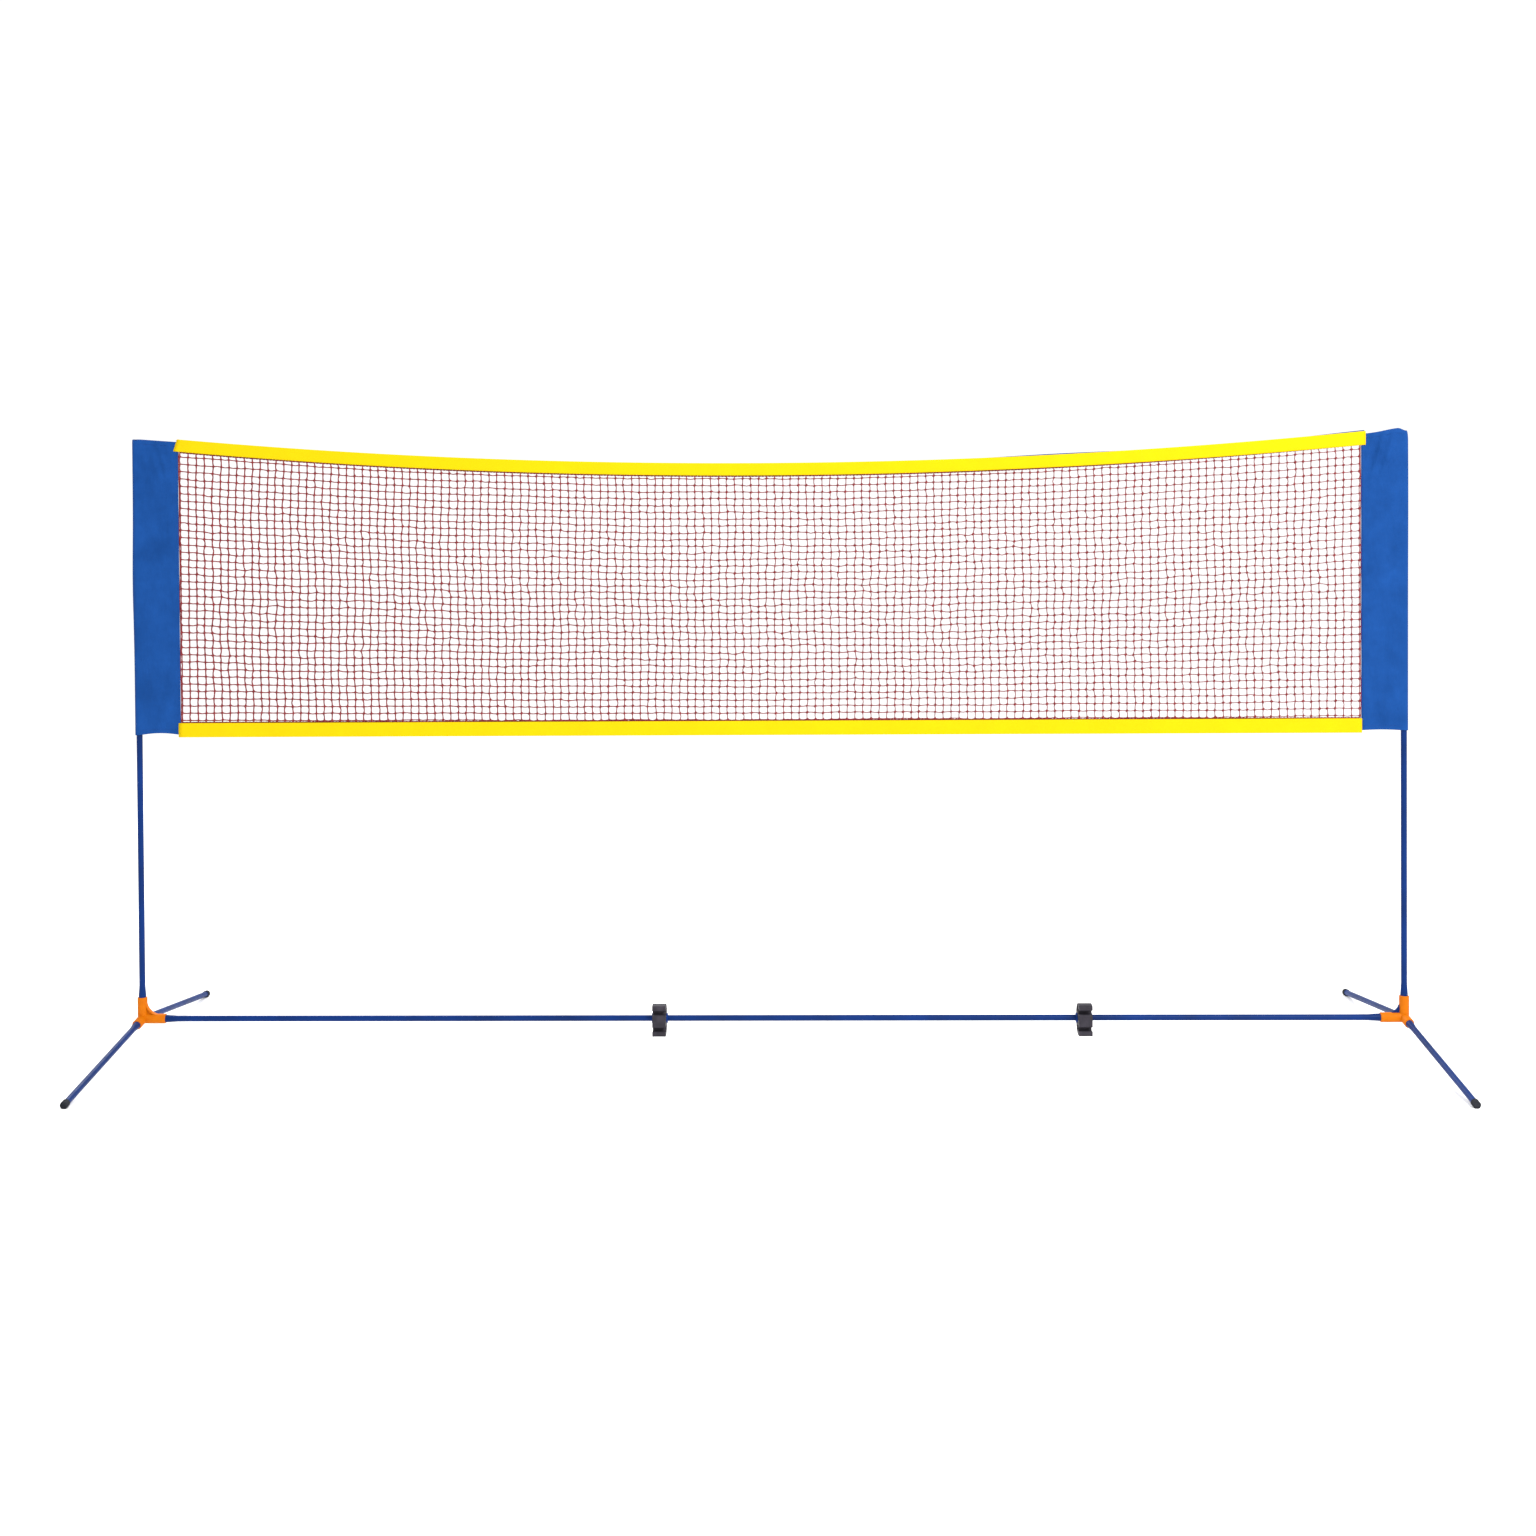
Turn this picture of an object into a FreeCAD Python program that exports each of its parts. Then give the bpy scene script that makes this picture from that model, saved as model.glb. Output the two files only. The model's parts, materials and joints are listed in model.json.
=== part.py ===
import FreeCAD, Part
import math
import os
import re
import Sketcher

# A free-standing net on two poles. Millimetres and degrees, +Z up. The origin is on the floor midway
# between the poles, +X runs along the crossbar and -Y is the front. Every tube, socket and cap is
# drawn in a frame of its own, with its origin at the hub of a corner connector, and then placed.

V = FreeCAD.Vector

# The driving dimensions
SIZES = {
    # The whole frame
    "pole_spacing": 3200,
    "net_top": 1550,
    "bar_level": 72,
    "leg_reach": 515,
    # Tubes, with a ferrule where each enters a connector and a spigot where two tubes join
    "tube_outer": 15,
    "tube_wall": 1.2,
    "ferrule_step": 1.8,
    "ferrule_show": 5,
    "ferrule_taper": 26,
    "spigot_length": 60,
    "spigot_root": 40,
    "fit_gap": 0.05,
    "bar_middle": 1060,
    "pole_joint": 690,
    # Corner connectors
    "socket_wall": 3,
    "hub_rise": 1.35,
    "socket_up": 55,
    "socket_in": 60,
    "socket_out": 44,
    "seat_up": 20,
    "seat_in": 22,
    "seat_out": 14,
    "end_gap": 0.2,
    "mouth_bevel": 1.2,
    "web_round": 37,
    "web_edge": 10,
    "web_thick": 4,
    "flange_wide": 12,
    "flange_thick": 3,
    "gusset_reach": 19,
    "gusset_edge": 1.5,
    "gusset_round": 24,
    "gusset_thick": 6,
    # Rubber foot caps and the plugs that close the tops of the poles
    "foot_wall": 1.7,
    "foot_flat": 0.5,
    "foot_length": 17,
    "foot_end": 4,
    "foot_bevel": 2.2,
    "plug_depth": 16,
    "plug_head": 3,
    "plug_bevel": 1.4,
    # Storage clips and the bushes that they turn on
    "clip_wide": 34,
    "clip_tall": 78,
    "clip_front": 38,
    "clip_rear": 16,
    "clip_round": 6,
    "clip_neck": 9,
    "seat_pitch": 42,
    "seat_back": 26,
    "seat_gap": 0.1,
    "seat_pinch": 2,
    "bush_wall": 3.35,
    "bush_rise": 1.6,
    "bush_lip": 3,
    "turn_gap": 0.08,
    "ring_wall": 3,
    "ring_ease": 0.5,
    "mouth_lead": 1.5,
    "clip_web": 4,
    "core_front": 13,
    "core_rear": 7,
    "core_step": 5,
    "left_clip_at": -278,
    "right_clip_at": 795,
    # The net
    "net_bottom": 791,
    "net_sag": 71,
    "band_below": 1,
    "seam_reach": 106,
    "band_overlap": 10,
    "top_band_tall": 31,
    "low_band_tall": 36,
    "band_cloth": 0.9,
    "cord_outer": 2.4,
    "side_cord_outer": 2.4,
    "soft_gap": 0.3,
    "net_thick": 1.6,
    "strand_wide": 3,
    "net_columns": 24,
    "net_rows": 8,
    # Sleeves that slip over the poles
    "sleeve_bottom": 797,
    "sleeve_ease": 2.4,
    "sleeve_cloth": 1,
    "sleeve_hem": 1.5,
    "sleeve_drop": 8,
    "sleeve_flat": 0.1,
    "seam_tab": 14,
    "seam_thick": 2.4,
    "seam_void": 0.6,
}

document = FreeCAD.newDocument("FreeStandingNet")
sheet = document.addObject("Spreadsheet::Sheet", "Sizes")
for row, (alias, size) in enumerate(SIZES.items(), start=1):
    sheet.set(f"A{row}", alias)
    sheet.set(f"B{row}", str(size))
    sheet.setAlias(f"B{row}", alias)
document.recompute()

# Expressions that several sub-parts share
TUBE = "tube_outer / 2"
BORE = "(tube_outer / 2 - tube_wall)"
FERRULE = "(tube_outer / 2 + ferrule_step)"
SPIGOT = f"({BORE} - fit_gap)"
SOCKET_BORE = f"({FERRULE} + fit_gap)"
SOCKET = f"({SOCKET_BORE} + socket_wall)"
HALF = "pole_spacing / 2"
FOOT = "(tube_outer / 2 + fit_gap + foot_wall)"
FOOT_LEVEL = f"({FOOT} - foot_flat)"
TILT = f"atan((bar_level - {FOOT_LEVEL}) / leg_reach)"
LEG = f"sqrt((bar_level - {FOOT_LEVEL})^2 + leg_reach^2)"
SIDE_JOIN = "(pole_spacing - bar_middle) / 2"
BAND_END = "(pole_spacing / 2 - seam_reach + band_overlap)"
SAG_RADIUS = f"(({BAND_END}^2 + net_sag^2) / (2 * net_sag))"
SAG_CENTRE = f"(net_top - band_below - net_sag + {SAG_RADIUS})"
CHANNEL = "(cord_outer + 2 * soft_gap)"
BAND_THICK = f"({CHANNEL} + 2 * band_cloth)"
BARREL = "(tube_outer / 2 + fit_gap + bush_wall)"
RING = f"({BARREL} + turn_gap)"
MESH_RADIUS = f"({SAG_RADIUS} + band_cloth + 2 * soft_gap + cord_outer)"
MESH_FOOT = "net_bottom + band_cloth + 2 * soft_gap + cord_outer"
SLEEVE_IN = "(tube_outer / 2 + sleeve_ease)"
SLEEVE_OUT = f"({SLEEVE_IN} + sleeve_cloth)"

CORD_SIDES = 8

# How far along, as a share of a band's half length, its own ends and its pocket's ends are
BAND_SPREAD = 1
POCKET_SPREAD = 1.01

UPRIGHT = "rotation(vector(0; 0; 1); 0 deg)"
HALF_TURN = "rotation(vector(0; 0; 1); 180 deg)"
ALONG_X = "rotation(vector(0; 1; 0); 90 deg)"
ALONG_MINUS_X = "rotation(vector(0; 1; 0); 270 deg)"


def sized(expression):
    """The expression with each alias written as a cell of the sheet."""
    return re.sub(r"\b[a-z]+(?:_[a-z]+)+\b", lambda word: f"Sizes.{word.group(0)}", expression)


def number(expression):
    """The value of an expression, in millimetres or degrees."""
    value = sheet.evalExpression(expression)
    return float(getattr(value, "Value", value))


def place(thing, at=("0", "0", "0"), turn=UPRIGHT):
    where = f"placement(vector({at[0]}; {at[1]}; {at[2]}); {turn})"
    thing.setExpression("Placement", sized(where))


def new_body(name, at=("0", "0", "0"), turn=UPRIGHT):
    body = document.addObject("PartDesign::Body", name)
    body.Label = name
    place(body, at, turn)
    return body


def new_sketch(body, name, plane, turn="0 deg", lift="0"):
    """A sketch on one of the body's own planes, turned about the plane's normal and lifted off it."""
    sketch = body.newObject("Sketcher::SketchObject", name)
    support = [item for item in body.Origin.OriginFeatures if item.Role == plane][0]
    sketch.AttachmentSupport = [(support, "")]
    sketch.MapMode = "FlatFace"
    offset = f"placement(vector(0; 0; {lift}); rotation(vector(0; 0; 1); {turn}))"
    sketch.setExpression("AttachmentOffset", sized(offset))
    return sketch


def arc_between(start, end, radius, side):
    """The arc of under half a circle from start to end, bulging to the left when side is 1."""
    chord = end - start
    middle = (start + end) / 2
    normal = V(-chord.y, chord.x, 0) / chord.Length
    rise = radius - math.sqrt(radius**2 - (chord.Length / 2) ** 2)
    return Part.Arc(start, middle + normal * side * rise, end)


def outline(sketch, points, arcs=None):
    """Joins the points, each a pair of expressions, with lines, and with arcs where arcs says so.

    arcs maps the number of a segment to its radius and the side it bulges to.
    """
    arcs = arcs or {}
    here = [V(number(across), number(up), 0) for across, up in points]
    count = len(here)
    first = sketch.GeometryCount
    starts = []
    ends = []
    for index in range(count):
        start = here[index]
        end = here[(index + 1) % count]
        if index in arcs:
            radius, side = arcs[index]
            sketch.addGeometry(arc_between(start, end, number(radius), side))
        else:
            sketch.addGeometry(Part.LineSegment(start, end))
        forward = (sketch.getPoint(first + index, 1) - start).Length < 1e-6
        starts.append(1 if forward else 2)
        ends.append(2 if forward else 1)
    for index in range(count):
        following = (index + 1) % count
        join = ("Coincident", first + index, ends[index], first + following, starts[following])
        sketch.addConstraint(Sketcher.Constraint(*join))
    for index, (across, up) in enumerate(points):
        corner = first + index
        for kind, expression, value in (
            ("DistanceX", across, here[index].x),
            ("DistanceY", up, here[index].y),
        ):
            bind(sketch, (kind, -1, 1, corner, starts[index], value), expression)
    for index, (radius, side) in arcs.items():
        bind(sketch, ("Radius", first + index, number(radius)), radius)


def circle(sketch, across, up, radius):
    """A circle whose centre and radius are expressions."""
    centre = V(number(across), number(up), 0)
    index = sketch.addGeometry(Part.Circle(centre, V(0, 0, 1), number(radius)))
    bind(sketch, ("DistanceX", -1, 1, index, 3, centre.x), across)
    bind(sketch, ("DistanceY", -1, 1, index, 3, centre.y), up)
    bind(sketch, ("Radius", index, number(radius)), radius)


def bind(sketch, constraint, expression):
    """Adds a dimension to a sketch and ties it to the sheet."""
    index = sketch.addConstraint(Sketcher.Constraint(*constraint))
    name = f"size{index}"
    sketch.renameConstraint(index, name)
    sketch.setExpression(f"Constraints.{name}", sized(expression))


def turned(body, name, kind, sketch, axis):
    """A Revolution or a Groove of a sketch about one of the sketch's own axes."""
    feature = body.newObject(f"PartDesign::{kind}", name)
    feature.Profile = sketch
    feature.ReferenceAxis = (sketch, [axis])
    feature.Angle = 360
    sketch.Visibility = False
    return feature


def raised(body, name, kind, sketch, length, symmetric=True, backwards=False):
    """A Pad or a Pocket of a sketch, to both sides of its plane or to one."""
    feature = body.newObject(f"PartDesign::{kind}", name)
    feature.Profile = sketch
    feature.SideType = "Symmetric" if symmetric else "One side"
    feature.Reversed = backwards
    feature.setExpression("Length", sized(length))
    sketch.Visibility = False
    return feature


# Tubes

def add_tube(name, outer, bore, at, turn):
    """A tube along its own +Z: outer and bore are pairs of a height and a radius."""
    body = new_body(name, at, turn)
    sketch = new_sketch(body, f"{name}_wall", "XZ_Plane")
    outline(sketch, [(radius, height) for height, radius in outer + bore[::-1]])
    turned(body, f"{name}_turned", "Revolution", sketch, "V_Axis")
    return body


def ferrule_end(seat, mouth):
    """The end of a tube that stands in a socket, from its seat to where it is down to size."""
    shoulder = f"{mouth} + ferrule_show"
    return [
        (seat, FERRULE),
        (shoulder, FERRULE),
        (f"{shoulder} + ferrule_taper", TUBE),
    ]


def add_spigot_tube(name, seat, mouth, joint, at, turn):
    """A tube with a ferrule at one end and, fixed in the other, a spigot that fits the next tube."""
    tip = f"{joint} + spigot_length"
    root = f"{joint} - spigot_root"
    outer = ferrule_end(seat, mouth) + [(joint, TUBE), (joint, SPIGOT), (tip, SPIGOT)]
    narrow = f"{SPIGOT} - tube_wall"
    bore = [(seat, BORE), (root, BORE), (root, narrow), (tip, narrow)]
    add_tube(name, outer, bore, at, turn)


def add_plain_tube(name, start, end, at, turn):
    add_tube(name, [(start, TUBE), (end, TUBE)], [(start, BORE), (end, BORE)], at, turn)


def add_poles(name, sign, turn):
    hub = (f"{sign}{HALF}", "0", "bar_level")
    joint = "pole_joint - bar_level"
    add_spigot_tube(f"{name}_lower_pole", "seat_up", "socket_up", joint, hub, turn)
    top = "net_top - bar_level - sleeve_hem - soft_gap - plug_head"
    add_plain_tube(f"{name}_upper_pole", joint, top, hub, turn)
    add_pole_plug(f"{name}_pole_plug", top, hub, turn)


def add_pole_plug(name, under, at, turn):
    """A plug with a bevelled head that closes the top of a pole."""
    body = new_body(name, at, turn)
    sketch = new_sketch(body, f"{name}_half", "XZ_Plane")
    outline(
        sketch,
        [
            ("0", f"{under} - plug_depth"),
            (SPIGOT, f"{under} - plug_depth"),
            (SPIGOT, under),
            (TUBE, under),
            (TUBE, f"{under} + plug_head - plug_bevel"),
            (f"{TUBE} - plug_bevel", f"{under} + plug_head"),
            ("0", f"{under} + plug_head"),
        ],
    )
    turned(body, f"{name}_turned", "Revolution", sketch, "V_Axis")


def add_crossbar():
    for name, sign, turn in (("left", "-", ALONG_X), ("right", "", ALONG_MINUS_X)):
        hub = (f"{sign}{HALF}", "0", "bar_level")
        add_spigot_tube(f"{name}_crossbar", "seat_in", "socket_in", SIDE_JOIN, hub, turn)
    middle = ("0", "0", "bar_level")
    add_plain_tube("middle_crossbar", "-bar_middle / 2", "bar_middle / 2", middle, ALONG_X)


# Legs with their rubber caps

def add_leg(name, at, heading):
    turn = f"{heading} * rotation(vector(1; 0; 0); 90 deg + {TILT})"
    seat = "seat_out + end_gap"
    end = f"{LEG} + foot_length / 2 - foot_end"
    outer = ferrule_end(seat, "socket_out") + [(end, TUBE)]
    add_tube(f"{name}_leg", outer, [(seat, BORE), (end, BORE)], at, turn)
    add_foot_cap(f"{name}_foot_cap", at, turn)


def add_foot_cap(name, at, turn):
    """A rubber cup over the end of a leg, with a bevelled end and a flat where it stands."""
    body = new_body(name, at, turn)
    start = f"{LEG} - foot_length / 2"
    end = f"{LEG} + foot_length / 2"
    bore = f"({TUBE} + fit_gap)"
    floor = f"{end} - foot_end"
    sketch = new_sketch(body, f"{name}_half", "XZ_Plane")
    outline(
        sketch,
        [
            (bore, start),
            (FOOT, start),
            (FOOT, f"{end} - foot_bevel"),
            (f"{FOOT} - foot_bevel", end),
            ("0", end),
            ("0", floor),
            (bore, floor),
        ],
    )
    turned(body, f"{name}_turned", "Revolution", sketch, "V_Axis")
    document.recompute()
    before = body.Shape.Volume
    ground = new_sketch(body, f"{name}_ground", "YZ_Plane")
    # Floor level in the cap's own frame, whose +Y leans up and whose +Z points down the leg
    near = f"(({start} - foot_length) * sin({TILT}) - bar_level) / cos({TILT})"
    far = f"(({end} + foot_length) * sin({TILT}) - bar_level) / cos({TILT})"
    outline(
        ground,
        [
            (near, f"{start} - foot_length"),
            (far, f"{end} + foot_length"),
            (f"{near} - 2 * {FOOT}", f"{end} + foot_length"),
            (f"{near} - 2 * {FOOT}", f"{start} - foot_length"),
        ],
    )
    raised(body, f"{name}_flat", "Pocket", ground, f"4 * {FOOT}")
    document.recompute()
    if not body.Shape.Volume < before:
        raise RuntimeError(f"{name}: the floor cuts nothing")


# Corner connectors: four sockets from one hub, with a flanged web or a filler in the corner

def add_connector(name, at, turn, webbed):
    body = new_body(name, at, turn)
    sockets = (
        ("up", "XZ_Plane", "90 deg", "socket_up", "seat_up"),
        ("inward", "XZ_Plane", "0 deg", "socket_in", "seat_in"),
        ("front", "YZ_Plane", f"180 deg + {TILT}", "socket_out", "seat_out"),
        ("rear", "YZ_Plane", f"-({TILT})", "socket_out", "seat_out"),
    )
    hub = body.newObject("PartDesign::AdditiveSphere", f"{name}_hub")
    hub.setExpression("Radius", sized(f"{SOCKET} + hub_rise"))
    for end, plane, aim, mouth, _ in sockets:
        sketch = new_sketch(body, f"{name}_{end}_half", plane, aim)
        wall = [
            ("0", "0"),
            ("0", SOCKET),
            (f"{mouth} - mouth_bevel", SOCKET),
            (mouth, f"{SOCKET} - mouth_bevel"),
            (mouth, "0"),
        ]
        outline(sketch, wall)
        turned(body, f"{name}_{end}", "Revolution", sketch, "H_Axis")
    if webbed:
        add_web(body, name)
    for end, plane, aim, mouth, seat in sockets:
        sketch = new_sketch(body, f"{name}_{end}_hole", plane, aim)
        past = f"{mouth} + socket_wall"
        hole = [(seat, "0"), (seat, SOCKET_BORE), (past, SOCKET_BORE), (past, "0")]
        outline(sketch, hole)
        turned(body, f"{name}_{end}_bore", "Groove", sketch, "H_Axis")


def add_web(body, name):
    """A thin web between the upright and the inward socket, with a flange along its curved edge."""
    reach = "(web_edge + web_round)"
    face = new_sketch(body, f"{name}_web_face", "XZ_Plane")
    corner = [("0", "0"), (reach, "0"), (reach, "web_edge"), ("web_edge", reach), ("0", reach)]
    outline(face, corner, {2: ("web_round", 1)})
    raised(body, f"{name}_web", "Pad", face, "web_thick")
    edge = new_sketch(body, f"{name}_flange_face", "XZ_Plane")
    behind = "web_edge - flange_thick"
    strip = [(reach, "web_edge"), ("web_edge", reach), (behind, reach), (reach, behind)]
    outline(edge, strip, {0: ("web_round", 1), 2: ("web_round + flange_thick", -1)})
    raised(body, f"{name}_flange", "Pad", edge, "flange_wide")


def add_gusset(name, at, turn):
    """A loose filler that stands in the corner of the connector that has no web."""
    body = new_body(name, at, turn)
    reach = f"({SOCKET} + gusset_reach)"
    edge = f"({SOCKET} + gusset_edge)"
    face = new_sketch(body, f"{name}_face", "XZ_Plane")
    corner = [(SOCKET, SOCKET), (reach, SOCKET), (reach, edge), (edge, reach), (SOCKET, reach)]
    outline(face, corner, {2: ("gusset_round", 1)})
    raised(body, f"{name}_plate", "Pad", face, "gusset_thick")


# Storage clips: a ring that snaps on a bush, and two seats that hold spare tubes

def add_clip(side, level_at):
    at = (level_at, "0", "bar_level")
    add_bush(f"{side}_clip_bush", at)
    name = f"{side}_storage_clip"
    body = new_body(name, at)
    add_clip_block(body, name)
    add_clip_cores(body, name)
    add_clip_holes(body, name)


def add_clip_block(body, name):
    front = "-clip_front"
    top = "clip_tall / 2"
    ring = f"({RING} + ring_wall)"
    face = new_sketch(body, f"{name}_face", "YZ_Plane")
    outline(
        face,
        [
            (front, f"-{top} + clip_round"),
            (f"{front} + clip_round", f"-{top}"),
            ("-clip_neck", f"-{top}"),
            ("clip_rear", f"-{ring}"),
            ("clip_rear", ring),
            ("-clip_neck", top),
            (f"{front} + clip_round", top),
            (front, f"{top} - clip_round"),
        ],
        {
            0: ("clip_round", -1),
            2: (top, -1),
            4: (top, -1),
            6: ("clip_round", -1),
        },
    )
    raised(body, f"{name}_block", "Pad", face, "clip_wide")


def add_clip_cores(body, name):
    """Cores the block out from both sides, above and below the ring, down to a middle web."""
    for level, sign in (("high", ""), ("low", "-")):
        core = new_sketch(body, f"{name}_{level}_core", "YZ_Plane")
        low = f"{RING} + 2 * ring_wall"
        high = "clip_tall / 2 - ring_wall"
        points = [
            ("-core_front", low),
            ("core_rear", low),
            ("core_rear", f"{low} + core_step"),
            ("-clip_neck", high),
            ("-core_front", high),
        ]
        outline(core, [(across, f"{sign}({up})") for across, up in points])
        raised(body, f"{name}_{level}_coring", "Pocket", core, "2 * clip_wide")
        raised(body, f"{name}_{level}_web", "Pad", core, "clip_web")


def add_clip_holes(body, name):
    """The ring's bore and its mouth to the rear, and the seats with their mouths to the front."""
    ring = new_sketch(body, f"{name}_ring_hole", "YZ_Plane")
    circle(ring, "0", "0", RING)
    raised(body, f"{name}_ring_bore", "Pocket", ring, "2 * clip_wide")
    add_mouth(body, f"{name}_ring", "0", "clip_rear", f"({TUBE} + ring_ease)", "0")
    for level, sign in (("high", ""), ("low", "-")):
        up = f"{sign}seat_pitch / 2"
        seat = new_sketch(body, f"{name}_{level}_hole", "YZ_Plane")
        circle(seat, "-seat_back", up, f"{TUBE} + seat_gap")
        raised(body, f"{name}_{level}_seat", "Pocket", seat, "2 * clip_wide")
        add_mouth(body, f"{name}_{level}", "-seat_back", "-clip_front", f"({TUBE} - seat_pinch)", up)


def add_mouth(body, name, inside, outside, half, up):
    """A slot from a bore's middle out through the block's face, with a flared lead-in."""
    away = "mouth_lead" if number(outside) > number(inside) else "-mouth_lead"
    slot = new_sketch(body, f"{name}_slot", "YZ_Plane")
    outline(
        slot,
        [
            (inside, f"{up} - {half}"),
            (f"{outside} - {away}", f"{up} - {half}"),
            (f"{outside} + {away}", f"{up} - {half} - 2 * mouth_lead"),
            (f"{outside} + {away}", f"{up} + {half} + 2 * mouth_lead"),
            (f"{outside} - {away}", f"{up} + {half}"),
            (inside, f"{up} + {half}"),
        ],
    )
    raised(body, f"{name}_mouth", "Pocket", slot, "2 * clip_wide")


def add_bush(name, at):
    """A flanged bush on the crossbar, a running fit inside the clip's ring."""
    body = new_body(name, at, ALONG_X)
    bore = f"({TUBE} + fit_gap)"
    flange = f"({BARREL} + bush_rise)"
    end = "(clip_wide / 2 + turn_gap + bush_lip)"
    sketch = new_sketch(body, f"{name}_half", "XZ_Plane")
    outline(
        sketch,
        [
            (bore, f"-{end}"),
            (flange, f"-{end}"),
            (flange, f"-{end} + bush_lip"),
            (BARREL, f"-{end} + bush_lip"),
            (BARREL, f"{end} - bush_lip"),
            (flange, f"{end} - bush_lip"),
            (flange, end),
            (bore, end),
        ],
    )
    turned(body, f"{name}_turned", "Revolution", sketch, "V_Axis")


# The net: mesh, bands folded over its edges, and the cords inside them

def sag_point(radius, spread):
    """A point on a circle about the sag's centre, at a share of the angle to the band's end."""
    sine = f"({spread} * {BAND_END} / {SAG_RADIUS})"
    return (f"{sine} * ({radius})", f"{SAG_CENTRE} - ({radius}) * sqrt(1 - {sine}^2)")


def sag_outline(sketch, upper, lower, spread):
    """A strip between two circles about the sag's centre."""
    outline(
        sketch,
        [
            sag_point(upper, f"-{spread}"),
            sag_point(upper, spread),
            sag_point(lower, spread),
            sag_point(lower, f"-{spread}"),
        ],
        {0: (upper, -1), 2: (lower, 1)},
    )


def add_top_band():
    """A tape folded over the head cord: two leaves and a closed fold above, open below."""
    body = new_body("top_band")
    face = new_sketch(body, "top_band_face", "XZ_Plane")
    sag_outline(face, SAG_RADIUS, f"{SAG_RADIUS} + top_band_tall", BAND_SPREAD)
    raised(body, "top_band_strip", "Pad", face, BAND_THICK)
    inside = new_sketch(body, "top_band_inside", "XZ_Plane")
    below = f"{SAG_RADIUS} + top_band_tall + band_cloth"
    sag_outline(inside, f"{SAG_RADIUS} + band_cloth", below, POCKET_SPREAD)
    raised(body, "top_band_fold", "Pocket", inside, CHANNEL)


def add_low_band():
    """A tape folded up round the foot cord, open above."""
    body = new_body("bottom_band")
    thick = f"{BAND_THICK} / 2"
    channel = f"{CHANNEL} / 2"
    top = "net_bottom + low_band_tall"
    section = new_sketch(body, "bottom_band_section", "YZ_Plane")
    outline(
        section,
        [
            (f"-{thick}", "net_bottom"),
            (thick, "net_bottom"),
            (thick, top),
            (channel, top),
            (channel, "net_bottom + band_cloth"),
            (f"-{channel}", "net_bottom + band_cloth"),
            (f"-{channel}", top),
            (f"-{thick}", top),
        ],
    )
    raised(body, "bottom_band_strip", "Pad", section, f"2 * {BAND_END}")


def add_head_cord():
    """The cord in the top band's fold, bent to the same sag and drawn with flat sides."""
    cord = new_body("head_cord", ("0", "0", SAG_CENTRE))
    section = new_sketch(cord, "head_cord_section", "YZ_Plane")
    level = f"-({SAG_RADIUS} + band_cloth + soft_gap + cord_outer / 2)"
    corners = []
    for side in range(CORD_SIDES):
        angle = f"{(side + 0.5) * 360 / CORD_SIDES} deg"
        across = f"cord_outer / 2 * cos({angle})"
        corners.append((across, f"{level} + cord_outer / 2 * sin({angle})"))
    outline(section, corners)
    bend = turned(cord, "head_cord_bend", "Revolution", section, "H_Axis")
    bend.Midplane = True
    bend.setExpression("Angle", sized(f"2 * asin({BAND_END} / {SAG_RADIUS})"))


def add_rod(name, radius, length, at, turn=UPRIGHT):
    rod = document.addObject("Part::Cylinder", name)
    rod.setExpression("Radius", sized(radius))
    rod.setExpression("Height", sized(length))
    place(rod, at, turn)


def add_net_cords():
    add_head_cord()
    level = "net_bottom + band_cloth + soft_gap + cord_outer / 2"
    add_rod("foot_cord", "cord_outer / 2", f"2 * {BAND_END}", (f"-{BAND_END}", "0", level), ALONG_X)
    across = "(pole_spacing / 2 - seam_reach - soft_gap - side_cord_outer / 2)"
    top = f"{SAG_CENTRE} - sqrt(({MESH_RADIUS})^2 - {across}^2) - soft_gap"
    for side, sign in (("left", "-"), ("right", "")):
        length = f"{top} - ({MESH_FOOT})"
        add_rod(f"{side}_side_cord", "side_cord_outer / 2", length, (f"{sign}{across}", "0", MESH_FOOT))


def add_mesh():
    """The netting as one flat sheet with its gaps, under the sagging head cord."""
    half = number("pole_spacing / 2 - seam_reach - 2 * soft_gap - side_cord_outer")
    foot = number(MESH_FOOT)
    centre = number(SAG_CENTRE)
    radius = number(MESH_RADIUS)
    thick = number("net_thick")
    strand = number("strand_wide")
    columns = int(number("net_columns"))
    rows = int(number("net_rows"))

    def head(across):
        return centre - math.sqrt(radius**2 - across**2)

    def node(column, row):
        across = -half + strand / 2 + (2 * half - strand) * column / columns
        low = foot + strand / 2
        high = head(across) - strand / 2
        return V(across, -thick / 2, low + (high - low) * row / rows)

    def gap(column, row):
        """A gap between the strands that join four knots."""
        inset = strand / 2
        corners = [
            node(column, row) + V(inset, 0, inset),
            node(column + 1, row) + V(-inset, 0, inset),
            node(column + 1, row + 1) + V(-inset, 0, -inset),
            node(column, row + 1) + V(inset, 0, -inset),
        ]
        return Part.makePolygon(corners + corners[:1])

    left = V(-half, -thick / 2, foot)
    right = V(half, -thick / 2, foot)
    right_top = V(half, -thick / 2, head(half))
    left_top = V(-half, -thick / 2, head(half))
    edges = [
        Part.LineSegment(left, right).toShape(),
        Part.LineSegment(right, right_top).toShape(),
        Part.Arc(right_top, V(0, -thick / 2, head(0)), left_top).toShape(),
        Part.LineSegment(left_top, left).toShape(),
    ]
    gaps = [gap(column, row) for column in range(columns) for row in range(rows)]
    face = Part.makeFace([Part.Wire(edges)] + gaps, "Part::FaceMakerBullseye")
    mesh = document.addObject("Part::Feature", "net_mesh")
    mesh.Shape = face.extrude(V(0, thick, 0))
    mesh.Placement = FreeCAD.Placement()


# Sleeves: pockets of cloth that slip over the poles, sewn flat along the net's edge

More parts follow.
